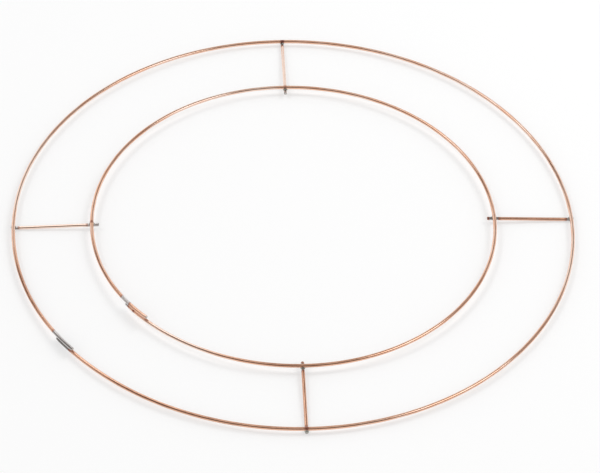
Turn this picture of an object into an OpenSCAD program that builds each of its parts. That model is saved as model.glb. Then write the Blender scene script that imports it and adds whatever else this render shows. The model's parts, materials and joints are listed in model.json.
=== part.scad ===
// Wire wreath frame: two round wire rings held apart by four welded wire spokes.
// Millimetres. +Z is up, the frame stands on Z = 0, and the rings share the Z axis.
// The rings lie on top of the spokes. The ends of each ring overlap between the left and
// front spokes, the upper end over the lower one, and are welded there.

/* [Rings] */
// Outside diameter of the outer ring, over the wire
outer_ring_d = 305; // [260:1:460]
// Outside diameter of the inner ring, over the wire
inner_ring_d = 220.4; // [120:0.2:240]
// Diameter of the ring wire
ring_wire_d = 2; // [1.6:0.1:2.4]
// Height of the inner ring above the outer ring
inner_rise = 1.5; // [0.5:0.1:5]

/* [Spokes] */
// Diameter of the spoke wire
spoke_wire_d = 1.8; // [1.5:0.1:2.6]
// Length of spoke past the middle of the outer ring's wire
spoke_outer_tail = 1.2; // [0.6:0.1:4]
// Length of spoke past the middle of the inner ring's wire
spoke_inner_tail = 3.7; // [1.5:0.1:8]
// Depth of the flat pressed under the outer end of each spoke, on which the frame stands
foot_flat = 0.12; // [0.06:0.02:0.24]

/* [Welds] */
// Depth to which a ring is pressed into a spoke
weld_set_down = 0.2; // [0.1:0.05:0.4]
// Diameter of the collar of metal squeezed out at a crossing
weld_collar_d = 3; // [2.4:0.1:3.4]
// Diameter of the bead between the lapped ends of a ring
lap_bead_d = 1.3; // [0.8:0.1:1.6]
// Distance from the tip of a lower end to the start of its bead
lap_bead_inset = 1; // [0.4:0.1:2]
// Gap between the lapped ends at the tip of the lower one, which the bead fills
lap_gap = 0.1; // [0.06:0.02:0.3]
// Metal dressed off the surface of the ring ends before they are welded
end_dressing = 0.02; // [0.01:0.01:0.04]
// Clearance between the squeezed-out metal and the wires that it lies against
weld_clearance = 0.01; // [0.005:0.005:0.02]

/* [Outer lap] */
// Direction of the tip of the lower end, in degrees from +X
outer_lap_angle = 213.5; // [208:0.5:240]
// Length of upper end past the tip of the lower end
outer_lap_length = 13.8; // [8:0.2:18]
// Length of the bead
outer_bead_length = 9; // [2:0.5:10]
// Turn over which the upper end climbs, in degrees
outer_upper_ramp = 16; // [12:1:22]
// Turn over which the lower end dips, in degrees
outer_lower_ramp = 18; // [16:1:26]

/* [Inner lap] */
// Direction of the tip of the lower end, in degrees from +X
inner_lap_angle = 214; // [208:0.5:226]
// Length of upper end past the tip of the lower end
inner_lap_length = 17; // [10:0.2:20]
// Length of the bead
inner_bead_length = 5; // [2:0.5:8]
// Turn over which the upper end climbs, in degrees
inner_upper_ramp = 22; // [16:1:26]
// Turn over which the lower end dips, in degrees
inner_lower_ramp = 40; // [28:1:42]

/* [Hidden] */
$fn = 48;
RING_STEPS = 256;
COPPER = [0.76, 0.50, 0.36];
BURNT_STEEL = [0.36, 0.33, 0.31];

// The spokes' names, in turn from +X
SIDES = ["right", "back", "left", "front"];
SIDE_TURN = 360 / len(SIDES);

function named(stem) = [for (side = SIDES) str(stem, side)];

// Radii of the rings, to the middle of the wire
outer_r = (outer_ring_d - ring_wire_d) / 2;
inner_r = (inner_ring_d - ring_wire_d) / 2;

// The spokes slope with the line that joins the two rings' wires
ring_span = outer_r - inner_r;
spoke_slope = atan(inner_rise / ring_span);
crossing_span = norm([ring_span, inner_rise]);
spoke_length = spoke_outer_tail + crossing_span + spoke_inner_tail;

// Distance from the middle of a ring's wire to the middle of the spoke under it
seat = (ring_wire_d + spoke_wire_d) / 2 - weld_set_down;
// Distance from the middle of a ring's wire to the middle of its weld
weld_drop = (ring_wire_d - weld_set_down) / 2;

// Heights of the rings, from the flats on which the frame stands
outer_z = (seat + spoke_wire_d / 2) * cos(spoke_slope) + spoke_outer_tail * sin(spoke_slope) - foot_flat;
inner_z = outer_z + inner_rise;

// The ends of a ring are a little thinner than its wire, and start inside it
end_wire_d = ring_wire_d - 2 * end_dressing;
end_root = ring_wire_d;
// Height of the upper end's middle above the lower end's, at the tip of the lower end
lap_height = end_wire_d + lap_gap;

// Angle that a length of wire takes up on a ring
function turn(length, radius) = length / radius * 180 / PI;

// Tilt that moves the end of a ring by half a lap's height over a turn of the ring
function lap_tilt(radius, ramp) = asin(lap_height / 2 / (radius * (1 - cos(ramp))));

// A bent length of round wire about the Z axis, turning on from a direction
module wire_arc(radius, wire_d, start, sweep) {
    rotate([0, 0, start])
        rotate_extrude(angle = sweep, $fn = RING_STEPS)
            translate([radius, 0])
                circle(d = wire_d);
}

// A ring's wire as a whole turn, closed halfway between two spokes, with a clearance round it
module ring_path(radius, z, clearance = 0) {
    translate([0, 0, z])
        wire_arc(radius, ring_wire_d + 2 * clearance, SIDE_TURN / 2, 360);
}

// An arc that leaves the ring's level smoothly, because it is tilted about the ring's own
// tangent in the direction of its pivot. A positive tilt climbs, a negative one dips.
module tilted_arc(radius, wire_d, pivot, tilt, start, sweep) {
    rotate([0, 0, pivot])
        translate([radius, 0, 0])
            rotate([0, tilt, 0])
                translate([-radius, 0, 0])
                    wire_arc(radius, wire_d, start, sweep);
}

module upper_end(radius, lap_angle, lap_length, ramp, clearance = 0) {
    root = turn(end_root, radius);
    sweep = root + ramp + turn(lap_length, radius);
    wire_d = end_wire_d + 2 * clearance;
    tilted_arc(radius, wire_d, lap_angle - ramp, lap_tilt(radius, ramp), -root, sweep);
}

module lower_end(radius, lap_angle, ramp, clearance = 0) {
    root = turn(end_root, radius);
    wire_d = end_wire_d + 2 * clearance;
    tilted_arc(radius, wire_d, lap_angle + ramp, -lap_tilt(radius, ramp), -ramp, ramp + root);
}

// A bead that lies along the top of the lower end, a little in from its tip
module lap_bead(radius, lap_angle, ramp, length) {
    start = turn(lap_bead_inset, radius) - ramp;
    sweep = turn(length, radius);
    translate([0, 0, lap_height / 2])
        tilted_arc(radius, lap_bead_d, lap_angle + ramp, -lap_tilt(radius, ramp), start, sweep);
}

// A bent wire with its ends lapped
module wire_ring(radius, z, lap_angle, lap_length, upper_ramp, lower_ramp) {
    color(COPPER)
        translate([0, 0, z]) {
            wire_arc(radius, ring_wire_d, lap_angle + lower_ramp, 360 - lower_ramp - upper_ramp);
            upper_end(radius, lap_angle, lap_length, upper_ramp);
            lower_end(radius, lap_angle, lower_ramp);
        }
}

module outer_ring() {
    wire_ring(outer_r, outer_z, outer_lap_angle, outer_lap_length, outer_upper_ramp, outer_lower_ramp);
}

module inner_ring() {
    wire_ring(inner_r, inner_z, inner_lap_angle, inner_lap_length, inner_upper_ramp, inner_lower_ramp);
}

// The metal that fills the groove between the lapped ends of a ring
module lap_weld(radius, z, lap_angle, lap_length, upper_ramp, lower_ramp, bead_length) {
    color(BURNT_STEEL)
        translate([0, 0, z])
            difference() {
                lap_bead(radius, lap_angle, lower_ramp, bead_length);
                upper_end(radius, lap_angle, lap_length, upper_ramp, weld_clearance);
                lower_end(radius, lap_angle, lower_ramp, weld_clearance);
            }
}

module outer_lap_weld() {
    lap_weld(
        outer_r, outer_z, outer_lap_angle, outer_lap_length,
        outer_upper_ramp, outer_lower_ramp, outer_bead_length
    );
}

module inner_lap_weld() {
    lap_weld(
        inner_r, inner_z, inner_lap_angle, inner_lap_length,
        inner_upper_ramp, inner_lower_ramp, inner_bead_length
    );
}

// The line of a spoke along +X, with its origin at the middle of the outer ring's wire and
// -X running up the slope to the middle of the inner ring's wire
module along_spoke() {
    translate([outer_r, 0, outer_z])
        rotate([0, spoke_slope, 0])
            children();
}

module spoke_rod(clearance = 0) {
    along_spoke()
        translate([spoke_outer_tail - spoke_length - clearance, 0, -seat])
            rotate([0, 90, 0])
                cylinder(d = spoke_wire_d + 2 * clearance, h = spoke_length + 2 * clearance);
}

// Everything under a spoke that is below the surface on which the frame stands
module below_foot() {
    depth = spoke_wire_d + weld_collar_d;
    length = spoke_length + weld_collar_d;
    translate([outer_r + spoke_outer_tail + weld_collar_d - length, -depth, -depth])
        cube([length, 2 * depth, depth]);
}

// A straight wire with a saddle pressed in by each ring
module spoke(angle) {
    color(COPPER)
        rotate([0, 0, angle])
            difference() {
                spoke_rod();
                ring_path(outer_r, outer_z);
                ring_path(inner_r, inner_z);
                below_foot();
            }
}

// The collar round a crossing, at a distance up the spoke from the outer ring
module crossing_weld(angle, up_spoke, radius, z) {
    color(BURNT_STEEL)
        rotate([0, 0, angle])
            difference() {
                along_spoke()
                    translate([-up_spoke, 0, -weld_drop])
                        rotate([0, 0, SIDE_TURN / 2])
                            sphere(d = weld_collar_d);
                ring_path(radius, z, weld_clearance);
                spoke_rod(weld_clearance);
                below_foot();
            }
}

module outer_weld(angle) {
    crossing_weld(angle, 0, outer_r, outer_z);
}

module inner_weld(angle) {
    crossing_weld(angle, crossing_span, inner_r, inner_z);
}

outer_ring();
inner_ring();
outer_lap_weld();
inner_lap_weld();
for (i = [0 : len(SIDES) - 1]) {
    angle = i * SIDE_TURN;
    spoke(angle);
    outer_weld(angle);
    inner_weld(angle);
}
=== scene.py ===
"""Looks of a wire wreath frame: drawn copper-plated wire, burnt welds, a white table in soft light."""

import json
import math
from dataclasses import dataclass

import bmesh
import bpy
from mathutils import Matrix, Vector, noise


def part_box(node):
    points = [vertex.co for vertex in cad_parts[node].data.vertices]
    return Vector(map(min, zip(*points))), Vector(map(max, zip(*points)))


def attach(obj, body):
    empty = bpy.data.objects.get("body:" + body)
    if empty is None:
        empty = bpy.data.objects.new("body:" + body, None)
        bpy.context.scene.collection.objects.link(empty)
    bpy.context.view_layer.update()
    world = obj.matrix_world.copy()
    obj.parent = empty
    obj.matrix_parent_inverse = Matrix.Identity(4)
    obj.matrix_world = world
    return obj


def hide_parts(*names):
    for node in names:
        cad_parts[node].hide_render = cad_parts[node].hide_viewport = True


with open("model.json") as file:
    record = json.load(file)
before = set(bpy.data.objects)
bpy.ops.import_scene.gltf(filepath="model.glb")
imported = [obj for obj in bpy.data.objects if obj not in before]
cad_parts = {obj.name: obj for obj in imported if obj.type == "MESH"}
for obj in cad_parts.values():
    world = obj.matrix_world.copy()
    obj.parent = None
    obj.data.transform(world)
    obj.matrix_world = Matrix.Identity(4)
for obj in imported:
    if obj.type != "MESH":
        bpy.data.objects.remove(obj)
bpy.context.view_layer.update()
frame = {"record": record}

MM = 0.001
UP = Vector((0, 0, 1))

# The wires, by the part's own sizes
RING_WIRE_R = 1.0 * MM
RING_END_R = 0.98 * MM
RING_END_LENGTH = 40 * MM
SPOKE_WIRE_R = 0.9 * MM
SPOKE_OUTER_TAIL = 1.2 * MM
SPOKE_INNER_TAIL = 3.7 * MM
INNER_RISE = 1.5 * MM

# The welds, with their surfaces just inside the part's own
WELD_SET_DOWN = 0.2 * MM
WELD_REACH = 1.48 * MM
LAP_GAP = 0.1 * MM
LAP_BEAD_R = 0.6 * MM
LAP_BEAD_INSET = 1.0 * MM

# Distances from the middle of a ring's wire down to the spoke's middle and to their weld's middle
SEAT = RING_WIRE_R + SPOKE_WIRE_R - WELD_SET_DOWN
WELD_DROP = RING_WIRE_R - WELD_SET_DOWN / 2
# Height of a ring's upper end over its lower end, from middle to middle
LAP_HEIGHT = 2 * RING_END_R + LAP_GAP

# How far the heat of a weld has scorched a wire, and burnt the plating off it
RING_SCORCH_REACH = 1.3 * MM
SPOKE_SCORCH_REACH = 3.5 * MM
SPOKE_BARE_REACH = 2.3 * MM

# The start of a bare stretch that takes in the tip of the wire
TIP = -1.0


def smooth(low, high, value):
    """0 up to low, 1 from high on, and a smooth step between them."""
    share = min(1.0, max(0.0, (value - low) / (high - low)))
    return share * share * (3 - 2 * share)


def fade(distance, reach):
    """1 at no distance, and less on either side."""
    return math.exp(-((distance / reach) ** 2))


def radial(degrees):
    angle = math.radians(degrees)
    return Vector((math.cos(angle), math.sin(angle), 0))


def outward(point):
    return Vector((point.x, point.y, 0)).normalized()


def depth(stretches, along):
    """How far a length lies inside the nearest of some stretches, or below zero outside all of them."""
    return max(min(along - start, end - along) for start, end in stretches)


# Where the wires run


@dataclass
class Mark:
    """A darker place on a ring's ends, by its length from the lower tip: some are lap weld scorch, some
    painted shade.
    """

    middle: float
    reach: float
    scorch_and_shade: float


@dataclass
class Stretch:
    """A part of a ring drawn darker or paler than the rest, by its direction in degrees: some are real
    tarnish, some painted shade, some painted highlight.
    """

    middle: float
    reach: float
    shade: float


@dataclass
class Ring:
    """A bent wire: once about Z from the tip of its lower end, and on until its upper end lies over it.

    The direction of the lower tip and the ramps, over which the ends climb and dip, are in degrees.
    The bare stretches of an end are lengths from its own tip. The seeds make all welds differ.
    """

    name: str
    height: float
    lap_angle: float
    lap_length: float
    bead_length: float
    upper_ramp: float
    lower_ramp: float
    lower_bare: tuple
    upper_bare: tuple
    lap_marks: tuple
    crossing_scorch: dict
    main_shade: float
    stretches: tuple
    weld_seed: float
    weld_seed_step: float
    bead_seed: float

    def __post_init__(self):
        self.node = self.name + "_ring"
        low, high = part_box(self.node)
        self.radius = (high.x - low.x) / 2 - RING_WIRE_R
        self.length = 2 * math.pi * self.radius + self.lap_length

    def turn(self, length):
        return math.degrees(length / self.radius)

    def lapped(self, pivot, ramp, beyond, climb):
        """A point on an end, which is tilted about the ring's tangent in the direction of the pivot."""
        tilt = math.asin(climb * LAP_HEIGHT / 2 / (self.radius * (1 - math.cos(math.radians(ramp)))))
        inward = self.radius * (1 - math.cos(math.radians(beyond)))
        point = radial(pivot) * (self.radius - inward * math.cos(tilt))
        point += radial(pivot + 90) * self.radius * math.sin(math.radians(beyond))
        point.z = self.height + inward * math.sin(tilt)
        return point

    def point(self, along):
        """The middle of the wire, at a length from the lower tip."""
        turned = self.turn(along)
        first = self.lower_ramp
        last = 360 - self.upper_ramp
        if turned < first:
            return self.lapped(self.lap_angle + first, self.lower_ramp, turned - first, -1)
        if turned > last:
            return self.lapped(self.lap_angle + last, self.upper_ramp, turned - last, 1)
        return self.middle(self.lap_angle + turned)

    def middle(self, degrees):
        """The middle of the level wire, in a direction from the centre."""
        return radial(degrees) * self.radius + UP * self.height

    def turn_to(self, along, degrees):
        """The turn between a place and a direction, in degrees."""
        turned = (self.lap_angle + self.turn(along) - degrees) % 360
        return min(turned, 360 - turned)

    def from_crossing(self, along, degrees):
        """The length of wire between a place and a spoke."""
        return math.radians(self.turn_to(along, degrees)) * self.radius

    def scorch_and_shade(self, along):
        """How far the welds have scorched the plating, with painted shade at two lap marks: 0 for not at
        all, 1 for deeply.
        """
        found = [mark.scorch_and_shade * fade(along - mark.middle, mark.reach) for mark in self.lap_marks]
        for spoke in SPOKES:
            distance = self.from_crossing(along, spoke.degrees)
            found.append(self.crossing_scorch[spoke.side] * fade(distance, RING_SCORCH_REACH))
        return max(found)

    def shade(self, along):
        """How dark the wire is drawn, from tarnish, painted shade and painted highlight: 0 for pale, 1 for
        brown.
        """
        added = 0.0
        for part in self.stretches:
            added += part.shade * fade(self.turn_to(along, part.middle), part.reach)
        return self.main_shade + added

    def bare(self, along):
        """How deep a place lies in a stretch without plating."""
        return max(depth(self.lower_bare, along), depth(self.upper_bare, self.length - along))


hang_wire = next(mount for mount in frame["record"]["mounts"] if mount["name"] == "hang_wire")
OUTER_HEIGHT = hang_wire["pos_m"][2]

OUTER = Ring(
    name="outer",
    height=OUTER_HEIGHT,
    lap_angle=213.5,
    lap_length=13.8 * MM,
    bead_length=9 * MM,
    upper_ramp=16,
    lower_ramp=18,
    lower_bare=((TIP, 10.9 * MM),),
    upper_bare=((TIP, 16.7 * MM),),
    # The lower end is darkened here as painted shade, where the upper end lies over it
    lap_marks=(Mark(middle=5 * MM, reach=9 * MM, scorch_and_shade=0.9),),
    crossing_scorch={"right": 0.1, "back": 0.75, "left": 0.0, "front": 0.5},
    main_shade=0.38,
    # Tones along the ring: partly real tarnish, partly painted shade and painted highlight
    stretches=(
        Stretch(middle=42, reach=28, shade=-0.12),
        # Painted shade, against the bright ceiling that the wire mirrors here
        Stretch(middle=90, reach=16, shade=0.2),
        Stretch(middle=115, reach=16, shade=-0.1),
        Stretch(middle=162, reach=14, shade=-0.35),
        Stretch(middle=199, reach=10, shade=0.45),
        # Partly real brown tarnish, partly a painted contact shadow
        Stretch(middle=247, reach=26, shade=0.4),
        Stretch(middle=345, reach=16, shade=-0.2),
    ),
    weld_seed=1.7,
    weld_seed_step=3.1,
    bead_seed=21.4,
)
INNER = Ring(
    name="inner",
    height=OUTER_HEIGHT + INNER_RISE,
    lap_angle=214,
    lap_length=17 * MM,
    bead_length=5 * MM,
    upper_ramp=22,
    lower_ramp=40,
    lower_bare=((TIP, 2.3 * MM),),
    upper_bare=((14.3 * MM, 20.7 * MM),),
    lap_marks=(
        Mark(middle=3.0 * MM, reach=1.3 * MM, scorch_and_shade=0.35),
        Mark(middle=7.0 * MM, reach=1.1 * MM, scorch_and_shade=0.65),
        # Painted shadow of the upper tip on the lower end
        Mark(middle=17.0 * MM, reach=1.6 * MM, scorch_and_shade=0.35),
    ),
    crossing_scorch={"right": 0.3, "back": 0.4, "left": 0.45, "front": 0.3},
    main_shade=0.42,
    # Tones along the ring: partly real tarnish, partly painted shade and painted highlight
    stretches=(
        Stretch(middle=84, reach=10, shade=0.15),
        Stretch(middle=110, reach=18, shade=-0.35),
        Stretch(middle=212, reach=9, shade=0.25),
        # Painted highlight
        Stretch(middle=235, reach=12, shade=-0.5),
        Stretch(middle=268, reach=15, shade=0.45),
    ),
    weld_seed=9.2,
    weld_seed_step=4.3,
    bead_seed=27.9,
)
RINGS = (OUTER, INNER)

SPOKE_SLOPE = math.atan2(INNER_RISE, OUTER.radius - INNER.radius)
CROSSING_SPAN = math.hypot(INNER_RISE, OUTER.radius - INNER.radius)
INNER_CROSSING = SPOKE_OUTER_TAIL + CROSSING_SPAN
SPOKE_LENGTH = INNER_CROSSING + SPOKE_INNER_TAIL


@dataclass
class Spoke:
    """A straight wire under both rings, with lengths from its outer end.

    Its burn is how far its welds have scorched it. A bare stub has no plating past the inner ring.
    Its swell is the metal squeezed out under the outer and the inner ring.
    """

    side: str
    degrees: float
    shade: float
    burn: float
    bare_stub: bool
    swell: tuple

    @property
    def up(self):
        """The wire's direction, from its outer end to its inner end."""
        return UP * math.sin(SPOKE_SLOPE) - radial(self.degrees) * math.cos(SPOKE_SLOPE)

    @property
    def off(self):
        """The direction square to the wire, up to the rings."""
        return UP * math.cos(SPOKE_SLOPE) + radial(self.degrees) * math.sin(SPOKE_SLOPE)

    def point(self, along):
        """The middle of the wire."""
        return OUTER.middle(self.degrees) - self.off * SEAT + self.up * (along - SPOKE_OUTER_TAIL)

    def from_crossing(self, along):
        return min(abs(along - SPOKE_OUTER_TAIL), abs(along - INNER_CROSSING))

    def scorch_and_shade(self, along):
        return self.burn * fade(self.from_crossing(along), SPOKE_SCORCH_REACH)

    def bare(self, along):
        """How deep a place lies in a stretch without plating."""
        near = SPOKE_BARE_REACH - self.from_crossing(along)
        return max(near, along - INNER_CROSSING) if self.bare_stub else near


SPOKES = (
    Spoke("right", degrees=0, shade=0.78, burn=0.7, bare_stub=False, swell=(0.6 * MM, 0.4 * MM)),
    Spoke("back", degrees=90, shade=-0.2, burn=0.15, bare_stub=True, swell=(0.1 * MM, 1.5 * MM)),
    Spoke("left", degrees=180, shade=-0.3, burn=0.15, bare_stub=True, swell=(0.1 * MM, 0.9 * MM)),
    Spoke("front", degrees=270, shade=0.72, burn=0.5, bare_stub=False, swell=(0.6 * MM, 1.3 * MM)),
)


# Wires as meshes

WIRE_SIDES = 28
COARSE_STEP = 1.2 * MM
FINE_STEP = 0.25 * MM
EDGE_STEP = 0.06 * MM

# Lengths of wire on either side of a crossing that take fine steps
RING_FINE_REACH = 4 * RING_SCORCH_REACH
SPOKE_FINE_REACH = 3 * SPOKE_SCORCH_REACH

# How a cut end looks: its rounded edge, and the slant and the bulge that the cutter leaves
EDGE_ROUND = 0.2 * MM
EDGE_LOSS = 0.12
CUT_SLANT = 0.14
SLANT_REACH = 2 * EDGE_ROUND
CUT_BULGE = 0.06
CUT_RIMS = (0.93, 0.5)
CUT_MIDDLE = 0.01

# Room that the map for baking leaves at the ends of its rows, and beside them
ROW_MARGIN = 0.012
ROW_FILL = 0.88


@dataclass
class Station:
    """One cross-section of a wire, with what the material has to know there."""

    point: Vector
    along: float
    radius: float
    shade: float = 0.0
    scorch_and_shade: float = 0.0
    bare: float = 0.0


def lengths_between(length, fine):
    """Lengths along a wire, with short steps where fine says so and very short ones at both ends."""
    found = [0.0]
    while found[-1] < length:
        here = found[-1]
        if min(here, length - here) < EDGE_ROUND:
            step = EDGE_STEP
        else:
            step = FINE_STEP if fine(here) else COARSE_STEP
        found.append(here + step)
    return found[:-1] + [length]


def end_radius(radius, from_end):
    """The wire's radius at a distance from its end, whose edge the cutter rounds."""
    lost = max(0.0, 1 - from_end / EDGE_ROUND)
    return radius * (1 - EDGE_LOSS * lost * lost)


class WireMesh:
    """A tube along stations, with a slanted, bulging cut at each end."""

    def __init__(self, stations, side):
        self.stations = stations
        self.length = stations[-1].along
        self.side = side
        self.points = []
        self.faces = []
        self.straight = []
        self.shade = []
        self.scorch_and_shade = []
        self.bare = []
        self.cut = []
        for index, station in enumerate(stations):
            self.add_rim(index, station.radius)
        for section in range(len(stations) - 1):
            self.join(section * WIRE_SIDES, (section + 1) * WIRE_SIDES)
        self.close(0, -1)
        self.close(len(stations) - 1, 1)

    def tangent(self, index):
        before = self.stations[max(index - 1, 0)].point
        after = self.stations[min(index + 1, len(self.stations) - 1)].point
        return (after - before).normalized()

    def slant(self, station, angle):
        """How far a point near a cut end lies along the wire, because the cut is slanted."""
        from_end = min(station.along, self.length - station.along)
        return CUT_SLANT * station.radius * math.cos(angle) * (1 - smooth(0, SLANT_REACH, from_end))

    def add_point(self, index, radius, angle, beyond=0.0, cut=0.0):
        station = self.stations[index]
        tangent = self.tangent(index)
        side = self.side(station.point)
        out = (side - tangent * side.dot(tangent)).normalized()
        across = out * math.cos(angle) + tangent.cross(out) * math.sin(angle)
        shift = self.slant(station, angle) * radius / station.radius + beyond
        self.points.append(station.point + across * radius + tangent * shift)
        self.straight.append((station.along + shift, radius * math.cos(angle), radius * math.sin(angle)))
        self.shade.append(station.shade)
        self.scorch_and_shade.append(station.scorch_and_shade)
        self.bare.append(station.bare / MM)
        self.cut.append(cut)

    def add_rim(self, index, radius, beyond=0.0, cut=0.0):
        for number in range(WIRE_SIDES):
            self.add_point(index, radius, 2 * math.pi * number / WIRE_SIDES, beyond, cut)

    def join(self, first, second):
        """Faces between two rims, by the numbers of their first points."""
        for number in range(WIRE_SIDES):
            after = (number + 1) % WIRE_SIDES
            self.faces.append((first + number, first + after, second + after, second + number))

    def close(self, index, facing):
        """The cut face: rims of points that bulge out of the wire, and a middle."""
        radius = self.stations[index].radius
        bulge = facing * CUT_BULGE * radius
        rims = [index * WIRE_SIDES]
        for share in CUT_RIMS:
            rims.append(len(self.points))
            self.add_rim(index, radius * share, bulge * (1 - share * share), cut=1.0)
        for outer, inner in zip(rims, rims[1:]):
            self.join(*((outer, inner) if facing > 0 else (inner, outer)))
        middle = len(self.points)
        self.add_point(index, radius * CUT_MIDDLE, 0, bulge, cut=1.0)
        for number in range(WIRE_SIDES):
            after = (number + 1) % WIRE_SIDES
            edge = (rims[-1] + number, rims[-1] + after)
            self.faces.append((*(edge if facing > 0 else edge[::-1]), middle))

    def unwrapped(self):
        """Places on a map for baking: the wire in rows, and its cut faces in a row of their own."""
        widest = max(station.radius for station in self.stations)
        rows = max(1, round(math.sqrt(self.length / (2 * math.pi * widest))))
        row_length = self.length / rows
        row_height = 1 / (rows + 1)
        places = []
        for section in range(len(self.stations) - 1):
            ends = [self.stations[section + end].along for end in (0, 1)]
            row = min(rows - 1, int(sum(ends) / 2 / row_length))
            across = [ROW_MARGIN + (1 - 2 * ROW_MARGIN) * (end / row_length - row) for end in ends]
            for number in range(WIRE_SIDES):
                up = [(row + ROW_FILL * (number + step) / WIRE_SIDES) * row_height for step in (0, 1)]
                places += [(across[0], up[0]), (across[0], up[1]), (across[1], up[1]), (across[1], up[0])]
        for face in self.faces[(len(self.stations) - 1) * WIRE_SIDES:]:
            for corner in face:
                along, first, second = self.straight[corner]
                column = 0 if along < self.length / 2 else 1
                places.append((
                    (column + 0.5 + ROW_FILL / 2 * first / widest) * row_height,
                    (rows + 0.5 + ROW_FILL / 2 * second / widest) * row_height,
                ))
        return places

    def made(self, name, material):
        mesh = bpy.data.meshes.new(name)
        mesh.from_pydata(self.points, [], self.faces)
        attribute = mesh.attributes.new("straight", "FLOAT_VECTOR", "POINT")
        attribute.data.foreach_set("vector", [value for point in self.straight for value in point])
        for key in ("shade", "scorch_and_shade", "bare", "cut"):
            attribute = mesh.attributes.new(key, "FLOAT", "POINT")
            attribute.data.foreach_set("value", getattr(self, key))
        places = mesh.uv_layers.new(name="OFBake")
        places.data.foreach_set("uv", [value for place in self.unwrapped() for value in place])
        mesh.materials.append(material)
        mesh.shade_smooth()
        return linked(name, mesh)


def linked(name, mesh):
    piece = bpy.data.objects.new(name, mesh)
    bpy.context.scene.collection.objects.link(piece)
    return piece


def dress(piece, node):
    """The piece rides on the part's one body and stands for a node."""
    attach(piece, "root")
    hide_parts(node)


def ring_wire(ring, material):
    end = ring.length

    def fine(along):
        nearest = min(ring.from_crossing(along, spoke.degrees) for spoke in SPOKES)
        return nearest < RING_FINE_REACH or min(along, end - along) < RING_END_LENGTH

    stations = []
    for along in lengths_between(end, fine):
        from_end = min(along, end - along)
        radius = RING_END_R + (RING_WIRE_R - RING_END_R) * smooth(0, RING_END_LENGTH, from_end)
        looks = ring.shade(along), ring.scorch_and_shade(along), ring.bare(along)
        stations.append(Station(ring.point(along), along, end_radius(radius, from_end), *looks))
    wire = WireMesh(stations, outward)
    dress(wire.made(ring.node + "_wire", material), ring.node)


def pressed(point):
    """A point of a spoke, moved out of the rings pressed into it and up to the table that it stands on."""
    for ring in RINGS:
        out = math.hypot(point.x, point.y)
        away = Vector((out - ring.radius, point.z - ring.height))
        if away.length < RING_WIRE_R:
            away *= RING_WIRE_R / away.length
            scale = (ring.radius + away.x) / out
            point = Vector((point.x * scale, point.y * scale, ring.height + away.y))
    return Vector((point.x, point.y, max(point.z, 0.0)))


def spoke_wire(spoke, material):
    def fine(along):
        return spoke.from_crossing(along) < SPOKE_FINE_REACH

    stations = []
    for along in lengths_between(SPOKE_LENGTH, fine):
        radius = end_radius(SPOKE_WIRE_R, min(along, SPOKE_LENGTH - along))
        looks = spoke.shade, spoke.scorch_and_shade(along), spoke.bare(along)
        stations.append(Station(spoke.point(along), along, radius, *looks))
    wire = WireMesh(stations, lambda point: UP)
    wire.points = [pressed(point) for point in wire.points]
    node = "spoke_" + spoke.side
    dress(wire.made(node + "_wire", material), node)


# Welds

# The fillet between two wires, and how much thinner it is, and how suddenly, at a weld's reach
FILLET = 1.0 * MM
THINNED = 0.12 * MM
THINNING_POWER = 4

# The lumps of a weld's surface, by height and size, and where in the noise a seed puts them
LUMPS = (
    (0.16 * MM, 0.75 * MM),
    (0.07 * MM, 0.28 * MM),
    (0.025 * MM, 0.1 * MM),
)
SEED_DIRECTION = (1.0, 2.3, -1.7)

# How finely a weld is divided, and the steps out from its middle that find its surface
LUMP_FINENESS = 5
LUMP_STEP = 0.02 * MM

# The bead of a lap: the steps along it, the length of its thin ends, and its share of the lumps
BEAD_STEP = 0.12 * MM
BEAD_TAPER = 0.7 * MM
BEAD_LUMPS = 0.6


def seeded(seed):
    """The place in the noise from which a weld takes its lumps."""
    return Vector([seed * share for share in SEED_DIRECTION])


def lumpiness(point, place):
    """Uneven height of a weld's surface at a point."""
    return sum(height * noise.noise(point / size + place) for height, size in LUMPS)


def joined(first, second):
    """Two distances from surfaces, joined with a fillet."""
    overlap = max(FILLET - abs(first - second), 0.0) / FILLET
    return min(first, second) - overlap * overlap * FILLET / 4


def off_line(point, origin, direction):
    away = point - origin
    return (away - direction * away.dot(direction)).length


def weld_lump(ring, spoke, swell, seed, material):
    """Metal squeezed out between a ring and a spoke: a fillet between the wires, with an uneven surface."""
    crossing = ring.middle(spoke.degrees)
    along_ring = radial(spoke.degrees + 90)
    under = crossing - spoke.off * SEAT
    centre = crossing - spoke.off * WELD_DROP
    lumps = seeded(seed)

    def outside(point):
        from_ring = off_line(point, crossing, along_ring) - RING_WIRE_R
        from_spoke = off_line(point, under, spoke.up) - SPOKE_WIRE_R
        spent = ((point - centre).length / WELD_REACH) ** THINNING_POWER
        added = (swell + lumpiness(point, lumps)) * (1 - spent) - THINNED * spent
        return joined(from_ring, from_spoke) - added

    shape = bmesh.new()
    bmesh.ops.create_icosphere(shape, subdivisions=LUMP_FINENESS, radius=1)
    for vertex in shape.verts:
        ray = vertex.co.normalized()
        reach = 0.0
        while reach < WELD_REACH and outside(centre + ray * reach) < 0:
            reach += LUMP_STEP
        vertex.co = centre + ray * reach
        vertex.co.z = max(vertex.co.z, 0.0)
    node = f"{ring.name}_weld_{spoke.side}"
    mesh = bpy.data.meshes.new(node)
    shape.to_mesh(mesh)
    shape.free()
    mesh.materials.append(material)
    mesh.shade_smooth()
    dress(linked(node + "_lump", mesh), node)


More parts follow.
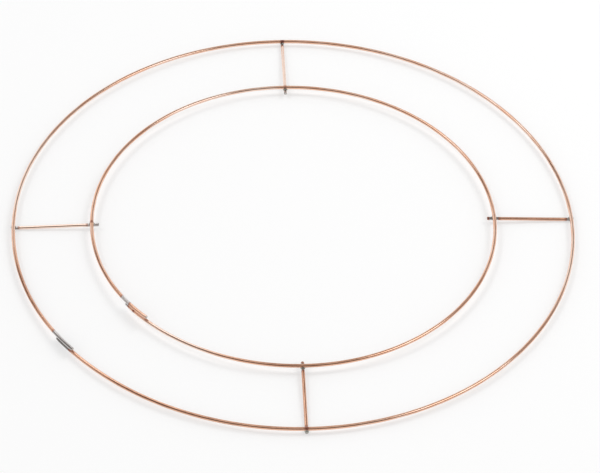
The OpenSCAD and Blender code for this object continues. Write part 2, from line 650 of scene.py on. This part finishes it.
def lap_bead(ring, material):
    """Uneven metal in the groove between the two ends of a ring."""
    lumps = seeded(ring.bead_seed)
    stations = []
    count = round(ring.bead_length / BEAD_STEP)
    for number in range(count + 1):
        along = ring.bead_length * number / count
        point = ring.point(LAP_BEAD_INSET + along) + UP * LAP_HEIGHT / 2
        taper = math.sqrt(smooth(-BEAD_STEP, BEAD_TAPER, min(along, ring.bead_length - along)))
        radius = (LAP_BEAD_R + BEAD_LUMPS * lumpiness(point, lumps)) * taper
        stations.append(Station(point, along, radius))
    bead = WireMesh(stations, outward)
    node = ring.name + "_lap_weld"
    dress(bead.made(node + "_bead", material), node)


# Materials

# A Mix node's own numbers for its sockets
MIX_SHARE = 0
MIX_NUMBERS = (2, 3)
MIX_COLOURS = (6, 7)
MIXED_COLOUR = 2


@dataclass
class Grain:
    """A noise, by its features to the metre along a wire and across it, and its detail."""

    along: float
    across: float
    detail: float


class Shader:
    """A node tree with short ways to add to it."""

    def __init__(self, owner):
        owner.use_nodes = True
        self.tree = owner.node_tree
        self.tree.nodes.clear()

    def add(self, kind, sockets, output=0, **settings):
        """Adds a node, sets its inputs or links them to other outputs, and gives one of its outputs."""
        made = self.tree.nodes.new("ShaderNode" + kind)
        for name, value in settings.items():
            setattr(made, name, value)
        for key, value in sockets.items():
            if isinstance(value, bpy.types.NodeSocket):
                self.tree.links.new(value, made.inputs[key])
            else:
                made.inputs[key].default_value = value
        return made.outputs[output]

    def attribute(self, name, output):
        return self.add("Attribute", {}, output, attribute_name=name)

    def math(self, operation, *values):
        return self.add("Math", dict(enumerate(values)), operation=operation)

    def noise(self, vector, grain):
        factors = (grain.along, grain.across, grain.across)
        scaled = self.add("VectorMath", {0: vector, 1: factors}, operation="MULTIPLY")
        return self.add("TexNoise", {"Vector": scaled, "Scale": 1.0, "Detail": grain.detail})

    def ramp(self, value, low, high, start=0.0, end=1.0):
        """A smooth step from start to end, as the value goes from low to high."""
        ends = {"Value": value, "From Min": low, "From Max": high, "To Min": start, "To Max": end}
        return self.add("MapRange", ends, interpolation_type="SMOOTHSTEP")

    def mix(self, share, *colours):
        sockets = {MIX_SHARE: share, **dict(zip(MIX_COLOURS, colours))}
        return self.add("Mix", sockets, MIXED_COLOUR, data_type="RGBA")

    def mix_numbers(self, share, *numbers):
        sockets = {MIX_SHARE: share, **dict(zip(MIX_NUMBERS, numbers))}
        return self.add("Mix", sockets, data_type="FLOAT")

    def bump(self, height, distance, strength):
        return self.add("Bump", {"Height": height, "Distance": distance, "Strength": strength})

    def end(self, kind, surface):
        out = self.tree.nodes.new("ShaderNodeOutput" + kind)
        self.tree.links.new(surface, out.inputs["Surface"])


def colour(red, green, blue):
    return (red, green, blue, 1.0)


WHITE = colour(1, 1, 1)
# Plating tones from pale to brown, which along the rings also carry painted shade and painted highlight
COPPER_PALE = colour(0.98, 0.77, 0.66)
COPPER_DEEP = colour(0.90, 0.54, 0.38)
COPPER_BROWN = colour(0.61, 0.345, 0.24)
TARNISH = colour(0.36, 0.17, 0.10)
# Scorched plating, which at two lap marks is painted shade
SCORCHED_AND_SHADED = colour(0.34, 0.13, 0.09)
SCORCHED_AND_SHADED_DEEP = colour(0.22, 0.09, 0.11)
STEEL_PALE = colour(0.66, 0.63, 0.62)
STEEL_DARK = colour(0.17, 0.16, 0.155)
# Burnt steel, which on the outer ring's lower end is painted shade
STEEL_BURNT_AND_SHADED = colour(0.11, 0.105, 0.095)
CUT_STEEL = colour(0.50, 0.47, 0.44)
SCALE_BLACK = colour(0.05, 0.045, 0.04)
SCALE_GREY = colour(0.40, 0.41, 0.37)
SCALE_BROWN = colour(0.20, 0.11, 0.07)
TABLE_WHITE = colour(0.96, 0.96, 0.96)

DRAWN_LINES = Grain(along=180, across=9000, detail=3.0)
STREAKS = Grain(along=22, across=1900, detail=2.0)
CLOUDS = Grain(along=110, across=700, detail=5.0)
SPECKS = Grain(along=900, across=2600, detail=4.0)
WELD_PATCHES = Grain(along=1100, across=1100, detail=4.0)
WELD_GRAINS = Grain(along=5200, across=5200, detail=3.0)

# How far the clouds shift the shade, the scorch and the depth of a bare stretch in millimetres
NOISE_MIDDLE = 0.5
UNEVEN_SHADE = 1.0
UNEVEN_SCORCH = 0.7
UNEVEN_BARE = 2.4

# Ramps give low and high, and start and end where these aren't 0 and 1
# For the plating, by shade, lines, specks, scorch and bare depth
PALE_TO_DEEP = (0.0, 0.6)
DEEP_TO_BROWN = (0.5, 1.1)
TARNISH_IN_LINES = (0.62, 0.45, 0.0, 0.12)
TARNISH_IN_SPECKS = (0.62, 0.76, 0.0, 0.4)
SCORCH_BEGINS = (0.15, 0.6)
SCORCH_DEEPENS = (0.6, 1.1)
SCORCH_BESIDE_BARE = (-1.6, -0.1, 0.0, 0.7)

# Ramps for the bare steel, by streaks, scorch and bare depth
DARK_TO_PALE_STEEL = (0.28, 0.5)
STEEL_BURNS = (0.2, 1.0, 0.0, 0.8)
PLATING_GONE = (-0.25, 0.35)

# The wire's gloss, by its lines and scorch, and the depth of its lines
WIRE_ROUGHNESS = (0.3, 0.7, 0.11, 0.18)
SCORCH_ROUGHNESS = 0.08
LINE_DEPTH = 0.005 * MM
LINE_STRENGTH = 0.5

# Ramps for the welds, by patches and grains, and the depth of the grains
BLACK_TO_GREY = (0.32, 0.54)
BROWN_IN_GRAINS = (0.55, 0.72, 0.0, 0.7)
WELD_ROUGHNESS = (0.3, 0.7, 0.28, 0.5)
GRAIN_DEPTH = 0.03 * MM
GRAIN_STRENGTH = 0.6


def wire_material():
    """Drawn steel wire, thinly copper-plated, which welds scorched and burnt bare, with painted shade and
    highlight.
    """
    material = bpy.data.materials.new("copper_plated_wire")
    shader = Shader(material)
    straight = shader.attribute("straight", "Vector")
    lines = shader.noise(straight, DRAWN_LINES)
    streaks = shader.noise(straight, STREAKS)
    clouds = shader.noise(straight, CLOUDS)
    specks = shader.noise(straight, SPECKS)
    uneven = shader.math("SUBTRACT", clouds, NOISE_MIDDLE)
    shade = shader.math("MULTIPLY_ADD", uneven, UNEVEN_SHADE, shader.attribute("shade", "Fac"))
    scorch_and_shade = shader.math("MULTIPLY_ADD", uneven, UNEVEN_SCORCH, shader.attribute("scorch_and_shade", "Fac"))
    bare = shader.math("MULTIPLY_ADD", uneven, UNEVEN_BARE, shader.attribute("bare", "Fac"))
    plating = shader.mix(shader.ramp(shade, *PALE_TO_DEEP), COPPER_PALE, COPPER_DEEP)
    plating = shader.mix(shader.ramp(shade, *DEEP_TO_BROWN), plating, COPPER_BROWN)
    plating = shader.mix(shader.ramp(lines, *TARNISH_IN_LINES), plating, TARNISH)
    plating = shader.mix(shader.ramp(specks, *TARNISH_IN_SPECKS), plating, TARNISH)
    plating = shader.mix(shader.ramp(scorch_and_shade, *SCORCH_BEGINS), plating, SCORCHED_AND_SHADED)
    plating = shader.mix(shader.ramp(scorch_and_shade, *SCORCH_DEEPENS), plating, SCORCHED_AND_SHADED_DEEP)
    plating = shader.mix(shader.ramp(bare, *SCORCH_BESIDE_BARE), plating, SCORCHED_AND_SHADED)
    steel = shader.mix(shader.ramp(streaks, *DARK_TO_PALE_STEEL), STEEL_DARK, STEEL_PALE)
    steel = shader.mix(shader.ramp(scorch_and_shade, *STEEL_BURNS), steel, STEEL_BURNT_AND_SHADED)
    skin = shader.mix(shader.ramp(bare, *PLATING_GONE), plating, steel)
    skin = shader.mix(shader.attribute("cut", "Fac"), skin, CUT_STEEL)
    polish = shader.ramp(lines, *WIRE_ROUGHNESS)
    sockets = {
        "Base Color": skin,
        "Metallic": 1.0,
        "Roughness": shader.math("MULTIPLY_ADD", scorch_and_shade, SCORCH_ROUGHNESS, polish),
        "Normal": shader.bump(lines, LINE_DEPTH, LINE_STRENGTH),
    }
    shader.end("Material", shader.add("BsdfPrincipled", sockets))
    return material


def weld_material():
    """Steel that was molten: grey and black scale with brown edges, pitted."""
    material = bpy.data.materials.new("burnt_weld")
    shader = Shader(material)
    place = shader.add("TexCoord", {}, "Object")
    patches = shader.noise(place, WELD_PATCHES)
    grains = shader.noise(place, WELD_GRAINS)
    skin = shader.mix(shader.ramp(patches, *BLACK_TO_GREY), SCALE_BLACK, SCALE_GREY)
    skin = shader.mix(shader.ramp(grains, *BROWN_IN_GRAINS), skin, SCALE_BROWN)
    sockets = {
        "Base Color": skin,
        "Metallic": 0.85,
        "Roughness": shader.ramp(grains, *WELD_ROUGHNESS),
        "Normal": shader.bump(grains, GRAIN_DEPTH, GRAIN_STRENGTH),
    }
    shader.end("Material", shader.add("BsdfPrincipled", sockets))
    return material


# The share of the table that is plain white to the camera and in the metal, and not lit
TABLE_GLOW = 0.45
TABLE_GLOW_LIGHT = 1.0


def table_material():
    material = bpy.data.materials.new("white_table")
    shader = Shader(material)
    paths = shader.add("LightPath", {}).node.outputs
    seen = shader.math("ADD", paths["Is Camera Ray"], paths["Is Glossy Ray"])
    seen = shader.math("ADD", seen, paths["Is Transmission Ray"])
    share = shader.math("MULTIPLY", shader.math("MINIMUM", seen, 1.0), TABLE_GLOW)
    lit = shader.add("BsdfDiffuse", {"Color": TABLE_WHITE})
    white = shader.add("Emission", {"Color": WHITE, "Strength": TABLE_GLOW_LIGHT})
    shader.end("Material", shader.add("MixShader", {0: share, 1: lit, 2: white}))
    return material


# The table, the camera and the light

TABLE_HALF = 4.0


def table_top():
    mesh = bpy.data.meshes.new("table")
    corners = [(x * TABLE_HALF, y * TABLE_HALF, 0) for x, y in ((-1, -1), (1, -1), (1, 1), (-1, 1))]
    mesh.from_pydata(corners, [], [(0, 1, 2, 3)])
    mesh.materials.append(table_material())
    linked("table", mesh)


# The view: the spokes are turned against it, and the rings' middle is off the picture's middle
VIEW_TURN = 3.8
VIEW_ELEVATION = 43.9
VIEW_ROLL = math.radians(1.72)
VIEW_DISTANCE = 1521.7 * MM
VIEW_OFFSET = (-3.5 * MM, 8.2 * MM)
VIEW_END = 20.0
# The focal length in widths of the picture
FOCAL_WIDTHS = 4.675
SENSOR_WIDTH = 36.0


def from_view(azimuth, elevation):
    """A direction in the part's frame. Azimuth 0 is to the right of the view, and 90 is ahead of it."""
    flat = radial(azimuth - VIEW_TURN) * math.cos(math.radians(elevation))
    return flat + UP * math.sin(math.radians(elevation))


def camera():
    data = bpy.data.cameras.new("camera")
    data.sensor_width = SENSOR_WIDTH
    data.lens = FOCAL_WIDTHS * SENSOR_WIDTH
    data.clip_end = VIEW_END
    forward = -from_view(-90, VIEW_ELEVATION)
    level = from_view(0, 0)
    upright = level.cross(forward)
    right = level * math.cos(VIEW_ROLL) + upright * math.sin(VIEW_ROLL)
    above = upright * math.cos(VIEW_ROLL) - level * math.sin(VIEW_ROLL)
    target = UP * OUTER.height - right * VIEW_OFFSET[0] - above * VIEW_OFFSET[1]
    turned = Matrix((right, above, -forward)).transposed().to_4x4()
    made = bpy.data.objects.new("camera", data)
    made.matrix_world = Matrix.Translation(target - forward * VIEW_DISTANCE) @ turned
    bpy.context.scene.collection.objects.link(made)
    bpy.context.scene.camera = made


# The studio's light as it falls on the table: light walls under a dim ceiling
WALL_TOP = (46, 60)
WALL_LIGHT = 1.09
CEILING_LIGHT = 0.16

# The studio as the metal mirrors it: a dim, brownish room with pale screens
ROOM_LOW = 0.32
ROOM_HIGH = 0.21
ROOM_RISE = (5, 32)
ROOM_TINT = colour(1.0, 0.82, 0.72)
ROOM_TINT_END = 0.75
SCREEN_EDGE = 7


@dataclass
class Light:
    """A light, by its direction from the view and half its width, in degrees.

    The light of a screen or a softbox is the brightness of its face. That of the key and the fill is
    what falls on a surface that faces them.
    """

    name: str
    azimuth: float
    elevation: float
    half_width: float
    light: float


SCREENS = (
    Light("back_wall", azimuth=96, elevation=4, half_width=38, light=0.9),
    Light("right_wall", azimuth=42, elevation=4, half_width=17, light=1.1),
    Light("right_window", azimuth=28, elevation=46, half_width=18, light=0.45),
    Light("left_wall", azimuth=131, elevation=15, half_width=12, light=1.1),
    Light("left_window", azimuth=170, elevation=40, half_width=12, light=0.9),
    Light("ceiling", azimuth=0, elevation=90, half_width=14, light=0.95),
)
SOFTBOXES = (
    Light("right_softbox", azimuth=-18, elevation=49, half_width=17, light=2.1),
    Light("left_softbox", azimuth=132, elevation=60, half_width=14, light=1.7),
)
SOFTBOX_DISTANCE = 0.85
KEY = Light("key_light", azimuth=33, elevation=44, half_width=11, light=0.68)
KEY_DISTANCE = 1.8
FILL = Light("fill_light", azimuth=152, elevation=48, half_width=7, light=0.5)
FILL_DISTANCE = 1.0


def sine(degrees):
    return math.sin(math.radians(degrees))


def studio():
    """The light of the room, and the room itself for the rays that the metal mirrors."""
    world = bpy.data.worlds.new("studio")
    bpy.context.scene.world = world
    shader = Shader(world)
    towards = shader.add("TexCoord", {}, "Generated")
    height = shader.add("SeparateXYZ", {0: towards}, "Z")
    falling = shader.ramp(height, *map(sine, WALL_TOP), WALL_LIGHT, CEILING_LIGHT)
    mirrored = shader.ramp(height, *map(sine, ROOM_RISE), ROOM_LOW, ROOM_HIGH)
    for screen in SCREENS:
        ahead = {0: towards, 1: from_view(screen.azimuth, screen.elevation)}
        near = shader.add("VectorMath", ahead, "Value", operation="DOT_PRODUCT")
        rim = [math.cos(math.radians(screen.half_width + edge)) for edge in (SCREEN_EDGE, 0)]
        mirrored = shader.math("MAXIMUM", mirrored, shader.ramp(near, *rim, 0.0, screen.light))
    glossy = shader.add("LightPath", {}, "Is Glossy Ray")
    light = shader.mix_numbers(glossy, falling, mirrored)
    dim = shader.ramp(mirrored, ROOM_LOW, ROOM_TINT_END, 1.0, 0.0)
    tint = shader.mix(shader.math("MULTIPLY", dim, glossy), WHITE, ROOM_TINT)
    shader.end("World", shader.add("Background", {"Color": tint, "Strength": light}))


def placed_lamp(light, data, distance):
    ahead = from_view(light.azimuth, light.elevation)
    made = bpy.data.objects.new(light.name, data)
    made.location = ahead * distance
    made.rotation_mode = "QUATERNION"
    made.rotation_quaternion = ahead.to_track_quat("Z", "Y")
    made.visible_camera = False
    bpy.context.scene.collection.objects.link(made)
    return made


def round_lamp(light, distance):
    data = bpy.data.lights.new(light.name, "AREA")
    data.shape = "DISK"
    data.size = 2 * distance * math.tan(math.radians(light.half_width))
    return placed_lamp(light, data, distance)


def softboxes():
    """Lamps near the table, which only the metal mirrors."""
    for light in SOFTBOXES:
        lamp = round_lamp(light, SOFTBOX_DISTANCE)
        face = math.pi * (lamp.data.size / 2) ** 2
        lamp.data.energy = light.light * math.pi * face
        lamp.visible_diffuse = False


def key_light():
    """A lamp near the table, for the soft shadows of the wires."""
    lamp = round_lamp(KEY, KEY_DISTANCE)
    lamp.data.energy = KEY.light * math.pi * KEY_DISTANCE ** 2
    lamp.visible_glossy = False


def fill_light():
    """A lamp as if far away, for the shadows on the other side of the wires."""
    data = bpy.data.lights.new(FILL.name, "SUN")
    data.energy = FILL.light
    data.angle = math.radians(2 * FILL.half_width)
    placed_lamp(FILL, data, FILL_DISTANCE).visible_glossy = False


def build():
    wire = wire_material()
    weld = weld_material()
    for ring in RINGS:
        ring_wire(ring, wire)
    for number, spoke in enumerate(SPOKES):
        spoke_wire(spoke, wire)
        for ring, swell in zip(RINGS, spoke.swell):
            weld_lump(ring, spoke, swell, ring.weld_seed + ring.weld_seed_step * number, weld)
    for ring in RINGS:
        lap_bead(ring, weld)
    table_top()
    studio()
    softboxes()
    key_light()
    fill_light()
    camera()
    bpy.context.scene.view_settings.view_transform = "Standard"


build()
